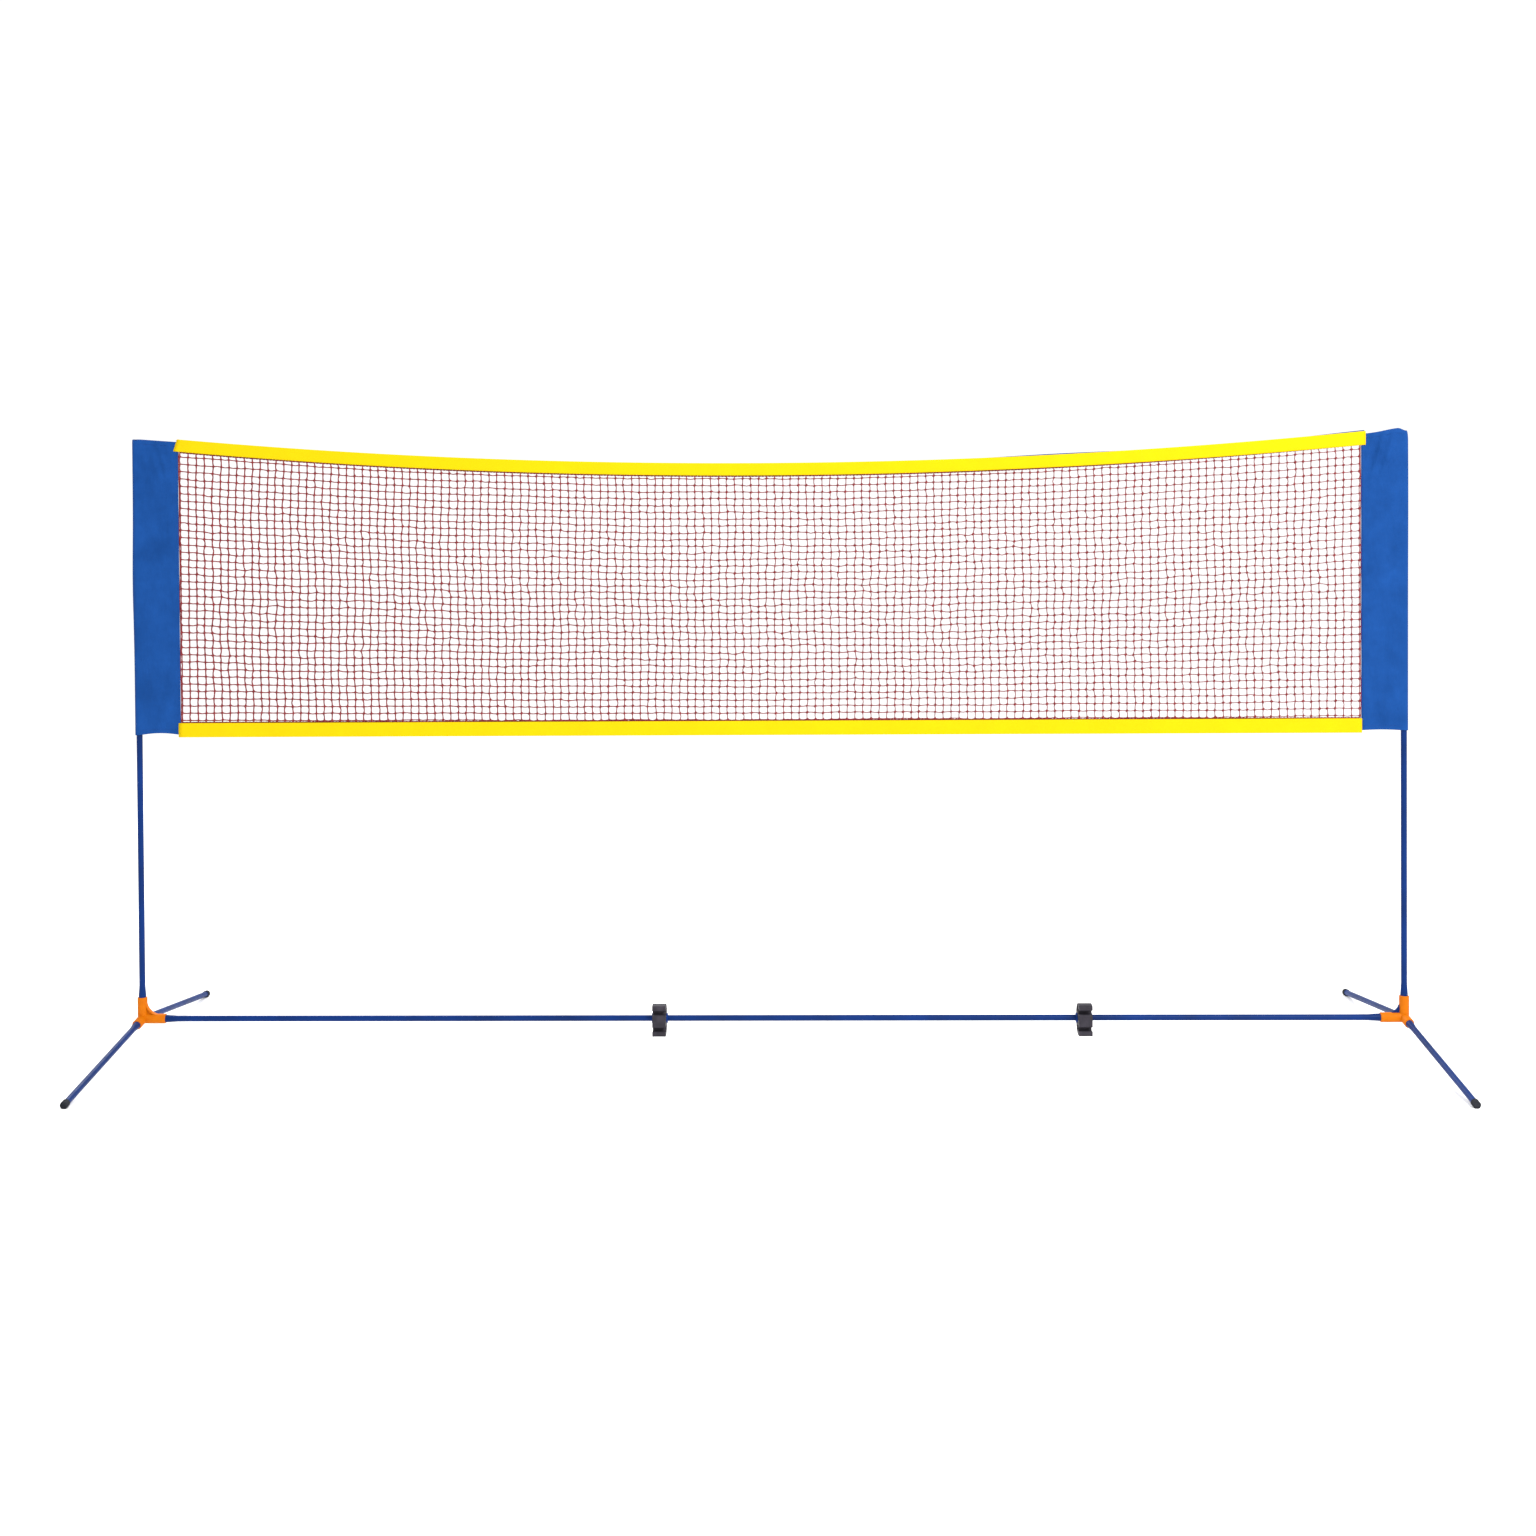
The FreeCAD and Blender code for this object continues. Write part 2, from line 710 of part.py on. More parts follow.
def add_sleeve(name, at, turn):
    body = new_body(name, at, turn)
    tab = "seam_reach - seam_tab"
    section = new_sketch(body, f"{name}_section", "XY_Plane", lift="sleeve_bottom")
    outline(
        section,
        [
            ("seam_reach", "-seam_thick / 2"),
            ("seam_reach", "seam_thick / 2"),
            (tab, "seam_thick / 2"),
            ("0", SLEEVE_OUT),
            (f"-{SLEEVE_OUT}", "0"),
            ("0", f"-{SLEEVE_OUT}"),
            (tab, "-seam_thick / 2"),
        ],
        {3: (SLEEVE_OUT, -1), 4: (SLEEVE_OUT, -1)},
    )
    raised(body, f"{name}_cloth", "Pad", section, "net_top - sleeve_bottom", symmetric=False)
    slope = new_sketch(body, f"{name}_top_face", "XZ_Plane")
    past = "seam_reach + seam_tab"
    flat = f"({SLEEVE_OUT} + sleeve_flat)"
    fall = f"sleeve_drop * ({past} - {flat}) / (seam_reach - {flat})"
    outline(slope, [(flat, "net_top"), (past, f"net_top - {fall}"), (past, "net_top")])
    raised(body, f"{name}_top", "Pocket", slope, f"4 * {SLEEVE_IN}")
    add_sleeve_pocket(body, name, tab)


def add_sleeve_pocket(body, name, tab):
    """Hollows the sleeve from below: round the pole up to the hem, and flat beside it."""
    round_pole = new_sketch(body, f"{name}_pole_hole", "XY_Plane", lift="sleeve_bottom")
    circle(round_pole, "0", "0", SLEEVE_IN)
    depth = "net_top - sleeve_hem - sleeve_bottom"
    raised(body, f"{name}_pole_pocket", "Pocket", round_pole, depth, symmetric=False, backwards=True)
    beside = new_sketch(body, f"{name}_side_hole", "XY_Plane", lift="sleeve_bottom")
    outline(
        beside,
        [
            ("0", f"-{SLEEVE_IN}"),
            (tab, "-seam_void / 2"),
            (tab, "seam_void / 2"),
            ("0", SLEEVE_IN),
        ],
    )
    depth = "net_top - sleeve_drop - sleeve_hem - sleeve_bottom"
    raised(body, f"{name}_side_pocket", "Pocket", beside, depth, symmetric=False, backwards=True)


add_crossbar()
for end, sign, heading in (("left", "-", UPRIGHT), ("right", "", HALF_TURN)):
    hub = (f"{sign}{HALF}", "0", "bar_level")
    add_poles(end, sign, heading)
    add_leg(f"front_{end}", hub, UPRIGHT)
    add_leg(f"rear_{end}", hub, HALF_TURN)
    add_connector(f"{end}_corner_connector", hub, heading, webbed=end == "left")
    add_clip(end, f"{end}_clip_at")
    add_sleeve(f"{end}_sleeve", (hub[0], "0", "0"), heading)
add_gusset("right_corner_gusset", (HALF, "0", "bar_level"), HALF_TURN)
add_top_band()
add_low_band()
add_net_cords()
add_mesh()
document.recompute()

# Every object must have come out whole before anything is written
made = ("PartDesign::Body", "Part::Cylinder", "Part::Feature")
pieces = [item for item in document.Objects if item.TypeId in made]
for item in document.Objects:
    if "Invalid" in item.State or "Error" in item.State:
        raise RuntimeError(f"{item.Label} failed: {item.State}")
for piece in pieces:
    if piece.Shape.isNull() or not piece.Shape.isValid():
        raise RuntimeError(f"{piece.Label} has no valid shape")

os.makedirs("parts", exist_ok=True)
for piece in pieces:
    piece.Shape.exportStep(f"parts/{piece.Label}.step")
    print(f"{piece.Label}: {piece.Shape.Volume:.0f} mm3 in {len(piece.Shape.Solids)} solid")
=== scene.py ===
import json
import math

import bmesh
import bpy
import numpy as np
from mathutils import Matrix, Vector


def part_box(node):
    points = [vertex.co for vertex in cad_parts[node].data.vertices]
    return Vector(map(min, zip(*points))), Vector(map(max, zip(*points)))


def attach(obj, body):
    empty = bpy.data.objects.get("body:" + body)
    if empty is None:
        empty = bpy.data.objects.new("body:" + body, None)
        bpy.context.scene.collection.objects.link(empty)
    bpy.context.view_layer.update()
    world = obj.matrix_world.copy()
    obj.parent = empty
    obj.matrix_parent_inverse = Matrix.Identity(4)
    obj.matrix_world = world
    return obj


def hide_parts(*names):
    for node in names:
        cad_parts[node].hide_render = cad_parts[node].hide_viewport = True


# The looks of a free-standing net on two poles. Metres, +Z up. The tubes, connectors, clips, bushes
# and caps are the CAD nodes with better materials. The sleeves, bands, cords and netting are made
# here and stand for the soft CAD nodes.

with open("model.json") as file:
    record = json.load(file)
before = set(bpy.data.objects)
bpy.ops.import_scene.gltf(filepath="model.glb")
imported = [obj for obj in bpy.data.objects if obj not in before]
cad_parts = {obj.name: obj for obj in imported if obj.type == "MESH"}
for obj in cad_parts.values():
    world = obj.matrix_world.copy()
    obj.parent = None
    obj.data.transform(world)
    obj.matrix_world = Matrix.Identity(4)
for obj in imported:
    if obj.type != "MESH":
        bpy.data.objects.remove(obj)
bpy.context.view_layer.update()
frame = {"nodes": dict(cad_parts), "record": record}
nodes = frame["nodes"]

# The camera, fitted to the photograph
IMAGE_PX = 1536
FOCAL_PX = 1905.5
DROP_PX = -211.6
EYE = Vector((0.095, -4.814, 1.317))
YAW = math.radians(-1.09)
PITCH = math.radians(0.884)
ROLL = math.radians(-0.346)
SENSOR_MM = 36

# The net's own sizes, which the frame doesn't say
BAND_TALL = 0.031
LOW_BAND_TALL = 0.036
BAND_HALF = 0.0022
TAPE_THICK = 0.0005
NET_COLUMNS = 148
NET_ROWS = 40
CORD_RADIUS = 0.00155
KNOT_RADIUS = 0.0034
KNOT_SWELL = 1.4
EDGE_CORD_RADIUS = 0.0011
ROPE_RADIUS = 0.0011
ROPE_INSET = 0.004
ROPE_DEPTH = 0.0024
FOOT_ROPE_INSET = 0.013
HEAD_DEPTH = 0.0045
SELVEDGE_RADIUS = 0.0012
SELVEDGE_SWING = 0.0009
SELVEDGE_PITCH = 0.017
SLEEVE_THICK = 0.0006
SLEEVE_ROUND = 0.0103
LEAF_REACH = 0.106
SEAM_HALF = 0.0007
HEM_ZONE = 0.030
TOP_DROP = 0.0075
PEAK_AT = 0.014
PEAK_RISE = 0.007
STITCH_LONG = 0.0032
STITCH_PITCH = 0.0048
STITCH_RADIUS = 0.00028

# How finely the soft pieces are divided
TOP_STEPS = 280
LOW_STEPS = 240
STITCH_STRIDE = 10
LEAF_COLUMNS = 30
LEAF_ROWS = 96
TAPE_COLUMNS = 9
EDGE_CORD_STEPS = 520
SELVEDGE_STEPS = 1200
ROPE_STEPS = 1500
ROPE_STRIDE = 8

# The light: the sky's strength, and each lamp's place, size and power
SKY_STRENGTH = 1.06
LAMPS = {
    "key": ((3.0, -4.5, 5.0), 2.5, 450),
    "rear": ((-2.0, 4.5, 4.5), 3.0, 260),
}
LAMP_AIM = Vector((0, 0, 0.8))
FLOOR_HALF = 40.0

# Where most values of a noise lie, and the shine of dull surfaces
NOISE_LOW = 0.3
NOISE_HIGH = 0.7
DULL_SHINE = 0.1


# Places read from the frame

def middle_of(node):
    low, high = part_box(node)
    return (low + high) / 2


top_low, top_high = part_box("top_band")
low_low, low_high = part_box("bottom_band")
net_low, net_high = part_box("net_mesh")
BAND_END = low_high.x
SAG = top_high.z - (top_low.z + BAND_TALL)
SAG_RADIUS = (BAND_END**2 + SAG**2) / (2 * SAG)
SAG_CENTRE = top_high.z - SAG + SAG_RADIUS
POLE_X = {"left": middle_of("left_upper_pole").x, "right": middle_of("right_upper_pole").x}
INWARD = {"left": 1, "right": -1}


def sag_level(across, depth):
    """The height of the line that hangs a depth below the top band's fold."""
    return SAG_CENTRE - np.sqrt((SAG_RADIUS + depth) ** 2 - np.square(across))


def bell(value, centre, width):
    """A smooth bump, 1 at its centre."""
    return np.exp(-(((value - centre) / width) ** 2))


# Meshes

def new_piece(name, points, faces, material, body):
    """A mesh piece that rides on a body and has the material."""
    mesh = bpy.data.meshes.new(name)
    mesh.from_pydata([tuple(p) for p in points], [], [tuple(f) for f in faces])
    mesh.validate()
    mesh.update()
    mesh.polygons.foreach_set("use_smooth", [True] * len(mesh.polygons))
    mesh.materials.append(material)
    piece = bpy.data.objects.new(name, mesh)
    bpy.context.scene.collection.objects.link(piece)
    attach(piece, body)
    return piece


def grid_faces(rows, columns, closed=False):
    """Quads over a grid of rows by columns; closed joins the last column to the first."""
    across = columns if closed else columns - 1
    row, column = np.meshgrid(np.arange(rows - 1), np.arange(across), indexing="ij")
    following = (column + 1) % columns
    corners = [row * columns + column, row * columns + following]
    corners += [(row + 1) * columns + following, (row + 1) * columns + column]
    return np.stack(corners, axis=-1).reshape(-1, 4)


def tube(path, radii, sides, turn=0.0):
    """Rings round a path and the quads between them; the path runs mostly across Y."""
    path = np.asarray(path, float)
    along = np.gradient(path, axis=0)
    along /= np.linalg.norm(along, axis=1, keepdims=True)
    depth = np.array([0.0, 1.0, 0.0])
    out = np.cross(along, depth)
    out /= np.linalg.norm(out, axis=1, keepdims=True)
    lift = np.cross(out, along)
    angles = turn + np.arange(sides) * 2 * math.pi / sides
    ring = out[:, None] * np.cos(angles)[None, :, None] + lift[:, None] * np.sin(angles)[None, :, None]
    points = path[:, None] + ring * np.broadcast_to(radii, len(path))[:, None, None]
    return points.reshape(-1, 3), grid_faces(len(path), sides, closed=True)


def joined(parts):
    """Several (points, faces) as one."""
    points = []
    faces = []
    count = 0
    for some_points, some_faces in parts:
        points.append(some_points)
        faces.append(np.asarray(some_faces) + count)
        count += len(some_points)
    return np.concatenate(points), np.concatenate(faces)


def twisted(path, radius, strands=3, pitch=0.009, sides=5):
    """A laid cord: strands wound round the path."""
    path = np.asarray(path, float)
    steps = np.linalg.norm(np.diff(path, axis=0), axis=1)
    along = np.gradient(path, axis=0)
    along /= np.linalg.norm(along, axis=1, keepdims=True)
    depth = np.array([0.0, 1.0, 0.0])
    out = np.cross(along, depth)
    distance = np.concatenate([[0.0], np.cumsum(steps)])
    parts = []
    for strand in range(strands):
        angle = distance / pitch * 2 * math.pi + strand * 2 * math.pi / strands
        wound = out * np.cos(angle)[:, None] + depth[None, :] * np.sin(angle)[:, None]
        parts.append(tube(path + wound * radius * 0.5, radius * 0.55, sides))
    return joined(parts)


def solidify(piece, thickness):
    """Gives a sheet its thickness, behind its faces."""
    shell = piece.modifiers.new("cloth", "SOLIDIFY")
    shell.thickness = thickness
    shell.offset = -1.0


def stitches(name, runs, material, body):
    """Short threads along each run, which is (start, end, outward) of a straight row."""
    parts = []
    for start, end, outward in runs:
        start = np.asarray(start, float)
        end = np.asarray(end, float)
        outward = np.asarray(outward, float)
        length = np.linalg.norm(end - start)
        along = (end - start) / length
        count = max(1, int(length / STITCH_PITCH))
        side = np.cross(along, outward)
        for at in range(count):
            begin = start + along * (at + 0.5) * length / count
            rise = (0.0, 1.0, 1.0, 0.0)
            reach = (-0.5, -0.3, 0.3, 0.5)
            rings = []
            for up, share in zip(rise, reach):
                centre = begin + along * share * STITCH_LONG + outward * up * STITCH_RADIUS
                for turn in range(4):
                    angle = turn * math.pi / 2
                    rim = outward * math.cos(angle) + side * math.sin(angle)
                    rings.append(centre + rim * STITCH_RADIUS)
            parts.append((np.array(rings), grid_faces(4, 4, closed=True)))
    points, faces = joined(parts)
    return new_piece(name, points, faces, material, body)


# Materials

def new_material(name):
    material = bpy.data.materials.new(name)
    material.use_nodes = True
    tree = material.node_tree
    shader = tree.nodes["Principled BSDF"]
    place = tree.nodes.new("ShaderNodeTexCoord")
    return material, tree, shader, place.outputs["Object"]


def linked(tree, kind, inputs, **settings):
    """A node with its settings made and its inputs set to values or joined to sockets."""
    node = tree.nodes.new(kind)
    for key, value in settings.items():
        setattr(node, key, value)
    for key, value in inputs.items():
        if isinstance(value, bpy.types.NodeSocket):
            tree.links.new(value, node.inputs[key])
        else:
            node.inputs[key].default_value = value
    return node


def noise(tree, place, scale, detail=3.0, rough=0.5):
    inputs = {"Vector": place, "Scale": scale, "Detail": detail, "Roughness": rough}
    return linked(tree, "ShaderNodeTexNoise", inputs).outputs["Fac"]


def stretched(tree, place, scale):
    """The place with each axis scaled."""
    inputs = {"Vector": place, "Scale": scale}
    return linked(tree, "ShaderNodeMapping", inputs).outputs["Vector"]


def spread(tree, value, low, high):
    """A value of about 0 to 1 mapped to low to high."""
    inputs = {"Value": value, "From Min": NOISE_LOW, "From Max": NOISE_HIGH, "To Min": low, "To Max": high}
    return linked(tree, "ShaderNodeMapRange", inputs).outputs["Result"]


def tinted(tree, value, dark, light):
    """A colour between two, by a value of about 0 to 1."""
    ramp = linked(tree, "ShaderNodeValToRGB", {"Fac": value})
    ramp.color_ramp.elements[0].position = NOISE_LOW
    ramp.color_ramp.elements[0].color = (*dark, 1)
    ramp.color_ramp.elements[1].position = NOISE_HIGH
    ramp.color_ramp.elements[1].color = (*light, 1)
    return ramp.outputs["Color"]


def bumped(tree, shader, height, distance, strength=1.0, under=None):
    inputs = {"Height": height, "Distance": distance, "Strength": strength}
    if under is not None:
        inputs["Normal"] = under
    bump = linked(tree, "ShaderNodeBump", inputs)
    tree.links.new(bump.outputs["Normal"], shader.inputs["Normal"])
    return bump.outputs["Normal"]


def weave_height(tree, place, pitch):
    """Threads over and under, as the product of two waves across the cloth."""
    threads = []
    for axis in (0, 2):
        scale = [0.0, 0.0, 0.0]
        scale[axis] = 1.0
        wave = {"Vector": stretched(tree, place, scale), "Scale": math.pi / (10 * pitch)}
        kind = {"wave_type": "BANDS", "bands_direction": "DIAGONAL"}
        threads.append(linked(tree, "ShaderNodeTexWave", wave, **kind).outputs["Fac"])
    return linked(tree, "ShaderNodeMath", {0: threads[0], 1: threads[1]}, operation="ADD").outputs[0]


def paint(name, dark, light, roughness):
    """Powder paint on a steel tube: faint orange peel, cloudy gloss and a few dull rubs."""
    material, tree, shader, place = new_material(name)
    cloud = noise(tree, place, 9.0)
    tree.links.new(tinted(tree, cloud, dark, light), shader.inputs["Base Color"])
    rubs = noise(tree, stretched(tree, place, (40.0, 40.0, 40.0)), 1.0, 6.0, 0.7)
    tree.links.new(spread(tree, rubs, roughness, roughness + 0.16), shader.inputs["Roughness"])
    bumped(tree, shader, noise(tree, place, 700.0, 2.0), 0.00012)
    shader.inputs["Specular IOR Level"].default_value = DULL_SHINE
    return material


def moulded(name, dark, light, roughness, grain=1100.0, depth=0.0001):
    """Injection-moulded plastic with a fine spark-eroded grain."""
    material, tree, shader, place = new_material(name)
    tree.links.new(tinted(tree, noise(tree, place, 45.0), dark, light), shader.inputs["Base Color"])
    tree.links.new(
        spread(tree, noise(tree, place, 160.0, 5.0), roughness, roughness + 0.15),
        shader.inputs["Roughness"],
    )
    bumped(tree, shader, noise(tree, place, grain, 3.0), depth)
    shader.inputs["Specular IOR Level"].default_value = DULL_SHINE
    return material


def cloth(name, dark, light, pitch, sheen, creases):
    """Woven cloth: threads, uneven dye, soft creases and a little sheen."""
    material, tree, shader, place = new_material(name)
    dye = noise(tree, place, 14.0, 5.0, 0.6)
    tree.links.new(tinted(tree, dye, dark, light), shader.inputs["Base Color"])
    tree.links.new(spread(tree, noise(tree, place, 300.0), 0.62, 0.82), shader.inputs["Roughness"])
    soft = noise(tree, stretched(tree, place, (22.0, 10.0, 9.0)), 1.0, 4.0, 0.55)
    under = bumped(tree, shader, soft, creases)
    bumped(tree, shader, weave_height(tree, place, pitch), 0.00008, 0.8, under)
    shader.inputs["Sheen Weight"].default_value = sheen
    shader.inputs["Sheen Roughness"].default_value = 0.5
    shader.inputs["Specular IOR Level"].default_value = 0.08
    return material


def twine(name, dark, light):
    """Twisted twine: strands in slanted waves and a few paler fibres."""
    material, tree, shader, place = new_material(name)
    tree.links.new(tinted(tree, noise(tree, place, 60.0, 4.0), dark, light), shader.inputs["Base Color"])
    wave = {"Vector": place, "Scale": 260.0, "Distortion": 1.5}
    lay = linked(tree, "ShaderNodeTexWave", wave, bands_direction="DIAGONAL").outputs["Fac"]
    bumped(tree, shader, lay, 0.0002)
    tree.links.new(spread(tree, noise(tree, place, 500.0), 0.6, 0.85), shader.inputs["Roughness"])
    shader.inputs["Specular IOR Level"].default_value = 0.2
    return material


TUBE_BLUE = paint("tube_blue", (0.001, 0.015, 0.085), (0.001, 0.023, 0.140), 0.36)
ORANGE = moulded("connector_orange", (0.49, 0.118, 0.000), (0.54, 0.140, 0.000), 0.5)
CLIP_BLACK = moulded("clip_black", (0.022, 0.020, 0.026), (0.038, 0.034, 0.044), 0.5, 900.0, 0.0002)
BUSH_BLUE = moulded("bush_blue", (0.002, 0.026, 0.160), (0.002, 0.034, 0.210), 0.35)
GUSSET_NAVY = moulded("gusset_navy", (0.002, 0.012, 0.080), (0.003, 0.018, 0.115), 0.5)
PLUG_BLACK = moulded("plug_black", (0.012, 0.012, 0.014), (0.022, 0.022, 0.025), 0.45)
FOOT_BLACK = moulded("foot_black", (0.010, 0.011, 0.014), (0.024, 0.026, 0.032), 0.7, 500.0, 0.0003)
SLEEVE_BLUE = cloth("sleeve_blue", (0.003, 0.040, 0.175), (0.006, 0.056, 0.235), 0.0007, 0.02, 0.006)
YELLOW = cloth("band_yellow", (0.60, 0.42, 0.000), (0.64, 0.45, 0.000), 0.0009, 0.0, 0.0008)
MAROON = twine("net_maroon", (0.14, 0.013, 0.016), (0.22, 0.025, 0.029))
ROPE_WHITE = twine("rope_white", (0.45, 0.43, 0.40), (0.56, 0.54, 0.50))
THREAD_BLUE = twine("thread_blue", (0.008, 0.040, 0.180), (0.014, 0.060, 0.250))
THREAD_YELLOW = twine("thread_yellow", (0.60, 0.46, 0.00), (0.66, 0.52, 0.00))

CAD_MATERIALS = {
    "pole_blue": TUBE_BLUE,
    "connector_orange": ORANGE,
    "gusset_navy": GUSSET_NAVY,
    "clip_black": CLIP_BLACK,
    "bush_blue": BUSH_BLUE,
    "plug_black": PLUG_BLACK,
    "foot_rubber": FOOT_BLACK,
}


def dress_cad_nodes():
    """Gives each rigid CAD node its material by the record's slot."""
    for part in frame["record"]["subparts"]:
        material = CAD_MATERIALS.get(part["material_slot"])
        if material:
            node = nodes[part["node"]]
            node.data.materials.clear()
            node.data.materials.append(material)


# Sleeves

def sleeve_top(side, inward):
    """The sleeve's top edge over the distance from the pole's axis towards the net."""
    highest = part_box(f"{side}_sleeve")[1].z - 0.0008
    drop = TOP_DROP * np.clip((inward - 0.011) / 0.095, 0, 1)
    if side == "left":
        return highest - drop
    # The right sleeve is pulled up into a rounded peak beside its pole
    reach = np.where(inward > PEAK_AT, 0.045, 0.013)
    return highest - drop + PEAK_RISE * bell(inward, PEAK_AT, reach)


def sleeve_bottom(side, inward):
    """The sleeve's bottom edge, which arches up between its two ends."""
    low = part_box(f"{side}_sleeve")[0].z
    arch = 0.005 if side == "left" else 0.002
    return low + arch * np.sin(np.clip(inward / LEAF_REACH, 0, 1) * math.pi)


def wrinkle(side, leaf, inward, share):
    """How far a leaf of the sleeve stands off its flat place, over its width and height."""
    turn = {"left": 0.0, "right": 1.9}[side] + (0.0 if leaf < 0 else 2.6)
    span = np.clip(inward / LEAF_REACH, 0, 1)
    free = np.sin(np.clip((span - 0.12) / 0.88, 0, 1) * math.pi)
    slow = np.sin(5.5 * share + 3.0 * span + turn) + 0.6 * np.sin(11.0 * share - 4.0 * span + 2 * turn)
    top_pull = bell(share, 0.93, 0.07) * np.sin(26.0 * (span + 2.2 * share) + turn)
    low_pull = bell(share, 0.08, 0.10) * np.sin(16.0 * (span - 1.8 * share) + turn)
    pull = 0.0024 if side == "right" else 0.0013
    return free * (0.0013 * slow + pull * top_pull + 0.0012 * low_pull + 0.0014)


def slack(side, share):
    """How far the cloth hangs off the outside of the pole."""
    if side == "left":
        return 0.0028 * bell(share, 0.52, 0.17)
    return 0.0012 * bell(share, 0.80, 0.30)


def sleeve_points(side):
    """Rings of the sleeve's section, from the seam's front round the pole to the seam's rear."""
    reach = abs(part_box(f"{side}_sleeve")[0 if side == "right" else 1].x - POLE_X[side])
    flat = np.linspace(reach, 0.0015, LEAF_COLUMNS)
    bend = np.radians(np.linspace(84, -84, 17))
    ends = np.array([0.0, 0.002, 0.005, 0.0095, 0.0105, 0.012, 0.016, 0.022])
    low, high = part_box(f"{side}_sleeve")
    tall = high.z - low.z
    inner = np.linspace(HEM_ZONE, tall - HEM_ZONE, LEAF_ROWS)
    levels = np.concatenate([ends, inner, tall - ends[::-1]]) / tall
    rows = []
    for share in levels:
        hang = slack(side, share)
        ring = []
        for leaf in (-1, 1):
            lean = flat if leaf < 0 else flat[::-1]
            half = SEAM_HALF + (SLEEVE_ROUND - SEAM_HALF) * (1 - lean / reach) ** 1.06
            half = half + wrinkle(side, leaf, lean, share) * np.clip(share * 12, 0.25, 1)
            ring.append(np.stack([lean, leaf * half], axis=1))
            if leaf < 0:
                round_it = np.stack([-np.cos(bend) * SLEEVE_ROUND - hang * np.cos(bend) ** 2,
                                     -np.sin(bend) * SLEEVE_ROUND], axis=1)
                ring.append(round_it)
        section = np.concatenate(ring)
        bottom = sleeve_bottom(side, section[:, 0])
        top = sleeve_top(side, section[:, 0])
        level = bottom + (top - bottom) * share
        below_top = top - level
        close = np.sqrt(np.clip(1 - (1 - np.clip(below_top / 0.008, 0, 1)) ** 2, 0.0004, 1))
        corner = 0.004 if side == "left" else 0.024
        tuck = 1 - (0.22 if side == "right" else 0.08) * (1 - np.clip(below_top / corner, 0, 1)) ** 2
        across = np.where(section[:, 0] < 0, section[:, 0] * tuck, section[:, 0])
        across_x = POLE_X[side] + INWARD[side] * across
        rows.append(np.stack([across_x, section[:, 1] * close, level], axis=1))
    return np.array(rows)


def add_sleeve(side):
    """The sleeve's cloth: the rings joined, with a roof across the last one."""
    grid = sleeve_points(side)
    rows, columns, _ = grid.shape
    faces = grid_faces(rows, columns, closed=True)
    if INWARD[side] > 0:
        faces = faces[:, ::-1]
    last = (rows - 1) * columns
    roof = [(last + at, last + at + 1, last + columns - 2 - at, last + columns - 1 - at)
            for at in range(columns // 2 - 1)]
    if INWARD[side] > 0:
        roof = [face[::-1] for face in roof]
    points = grid.reshape(-1, 3)
    piece = new_piece(f"{side}_sleeve_cloth", points, np.concatenate([faces, roof]),
                      SLEEVE_BLUE, "net")
    solidify(piece, SLEEVE_THICK)
    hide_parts(f"{side}_sleeve")
    runs = sleeve_seams(grid)
    thread = stitches(f"{side}_sleeve_stitches", runs, THREAD_BLUE, "net")


def sleeve_seams(grid):
    """Rows of stitches: two hems and the seam beside the net, on both leaves."""
    columns = grid.shape[1]
    low_hem = 4
    top_hem = len(grid) - 6
    front = list(range(0, LEAF_COLUMNS - 1))
    rear = list(range(columns - 1, columns - LEAF_COLUMNS, -1))
    runs = []
    for leaf, picks in ((-1, front), (1, rear)):
        outward = (0, leaf, 0)
        for row in (low_hem, top_hem):
            for start, end in zip(picks[::4], picks[4::4]):
                runs.append((grid[row, start], grid[row, end], outward))
        seam = picks[1]
        marks = list(range(2, len(grid) - 4, 6))
        for start, end in zip(marks, marks[1:]):
            runs.append((grid[start, seam], grid[end, seam], outward))
    return runs


# Bands: tape folded over the net's edges

def band_section(tall, steps):
    """Half widths and depths below the fold, up one leaf, over the fold and down the other."""
    depths = np.linspace(tall, BAND_HALF, steps)
    bend = np.radians(np.linspace(0, 180, 9))[1:-1]
    fold = np.stack([-np.cos(bend) * BAND_HALF, BAND_HALF - np.sin(bend) * BAND_HALF], axis=1)
    down = np.stack([np.full(steps, -BAND_HALF), depths], axis=1)
    up = np.stack([np.full(steps, BAND_HALF), depths[::-1]], axis=1)
    return np.concatenate([down, fold, up])


def flutter(across, depth, leaf, tall):
    """The free edge of a band's leaf waves a little."""
    wave = np.sin(across * 9.0 + leaf) + 0.6 * np.sin(across * 23.0 + 2.0 * leaf)
    return 0.0005 * wave * depth / tall


def add_tape(name, grid, faces, node):
    """A tape folded over one edge of the net, with a row of stitches along each leaf."""
    piece = new_piece(name, grid.reshape(-1, 3), faces, YELLOW, "net")
    solidify(piece, TAPE_THICK)
    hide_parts(node)
    runs = []
    for column, leaf in ((1, -1), (grid.shape[1] - 2, 1)):
        for start in range(0, len(grid) - 1, STITCH_STRIDE):
            runs.append((grid[start, column], grid[start + STITCH_STRIDE, column], (0, leaf, 0)))
    thread = stitches(f"{name}_stitches", runs, THREAD_YELLOW, "net")


